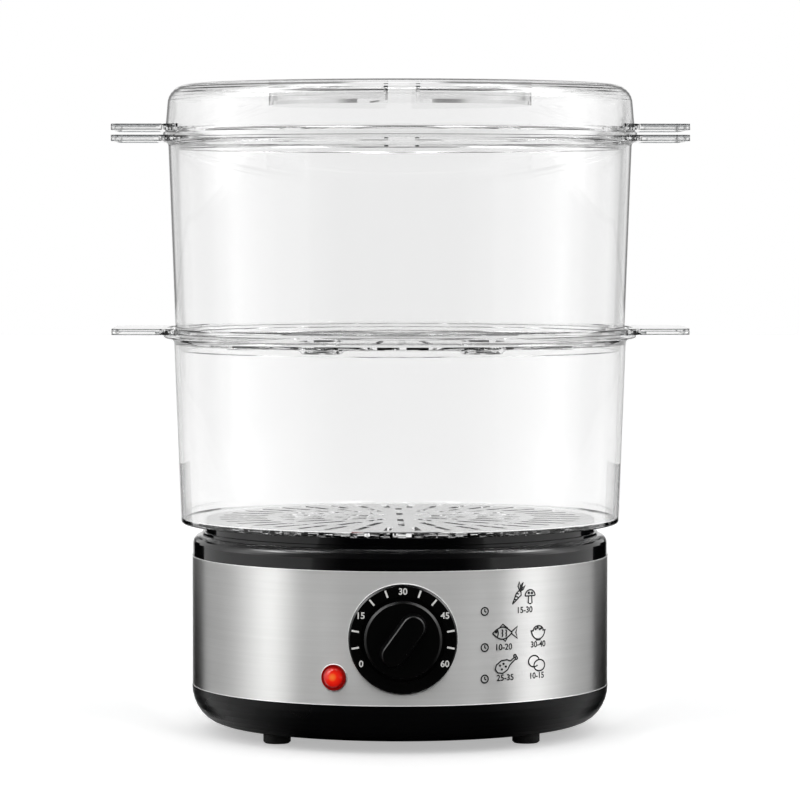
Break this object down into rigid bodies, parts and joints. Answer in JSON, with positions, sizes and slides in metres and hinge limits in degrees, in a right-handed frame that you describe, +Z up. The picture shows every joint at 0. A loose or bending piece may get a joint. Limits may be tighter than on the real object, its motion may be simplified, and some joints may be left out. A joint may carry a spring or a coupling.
{
  "type": "electric food steamer",
  "caption": "Round electric food steamer: black and steel base with a minute timer and water tank, drip tray, nesting clear baskets and a clear lid.",
  "frame": {"origin": "on the floor, in the middle of the object", "axes": "+Z up, -Y is the front with the timer dial, +X to the right as seen from the front"},
  "size_m": [0.2626, 0.2176, 0.2967],
  "materials": {
    "clear_plastic": "clear moulded",
    "gloss_black": "gloss moulded",
    "satin_black": "satin moulded",
    "stainless": "brushed along its length",
    "zinc_steel": "zinc plated",
    "rubber": "matt",
    "silicone": "satin",
    "aluminium": "cast",
    "ceramic": "matt",
    "brass": "rolled",
    "nylon": "moulded",
    "red_lens": "clear red moulded",
    "bulb_glass": "clear"
  },
  "bodies": {
    "base": {"upper_housing": "gloss_black", "water_tank": "gloss_black", "steel_band": "stainless", "bottom_cover": "satin_black", "rubber_feet": "rubber", "cover_screws": "zinc_steel", "heater_plate": "stainless", "heater_seal": "silicone", "heater_element": "aluminium", "heater_terminals": "ceramic", "heater_bracket": "zinc_steel", "heater_nuts": "zinc_steel", "thermostat": "ceramic", "thermal_fuse": "zinc_steel", "terminal_block": "nylon", "cord_gland": "rubber", "cord_clamp": "satin_black", "clamp_screws": "zinc_steel", "dial_plate": "satin_black", "timer_case": "zinc_steel", "timer_back": "zinc_steel", "timer_bell": "zinc_steel", "timer_screws": "zinc_steel", "lamp_lens": "red_lens", "lamp_bulb": "bulb_glass", "lamp_clip": "zinc_steel"},
    "timer": {"timer_knob": "gloss_black", "timer_shaft": "zinc_steel", "timer_barrel": "brass"},
    "tray": {"drip_tray": "gloss_black"},
    "ring": {"steam_ring": "satin_black"},
    "lower": {"lower_basket": "clear_plastic"},
    "upper": {"upper_basket": "clear_plastic"},
    "cover": {"lid": "clear_plastic"}
  },
  "joints": [
    {"name": "timer_turn", "type": "hinge", "parent": "base", "child": "timer", "pos_m": [0, -0.095, 0.0514], "axis": [0, 1, 0], "range_deg": [-156, 84]},
    {"name": "tray_lift", "type": "slide", "parent": "base", "child": "tray", "axis": [0, 0, 1], "range_m": [0, 0.13]},
    {"name": "ring_lift", "type": "slide", "parent": "base", "child": "ring", "axis": [0, 0, 1], "range_m": [0, 0.065]},
    {"name": "lower_basket_lift", "type": "slide", "parent": "tray", "child": "lower", "axis": [0, 0, 1], "range_m": [0, 0.09]},
    {"name": "upper_basket_lift", "type": "slide", "parent": "lower", "child": "upper", "axis": [0, 0, 1], "range_m": [0, 0.1]},
    {"name": "lid_lift", "type": "slide", "parent": "upper", "child": "cover", "axis": [0, 0, 1], "range_m": [0, 0.06]}
  ],
  "couplings": [
    {"joint": "ring_lift", "follows": "tray_lift", "ratio": 0.5}
  ]
}
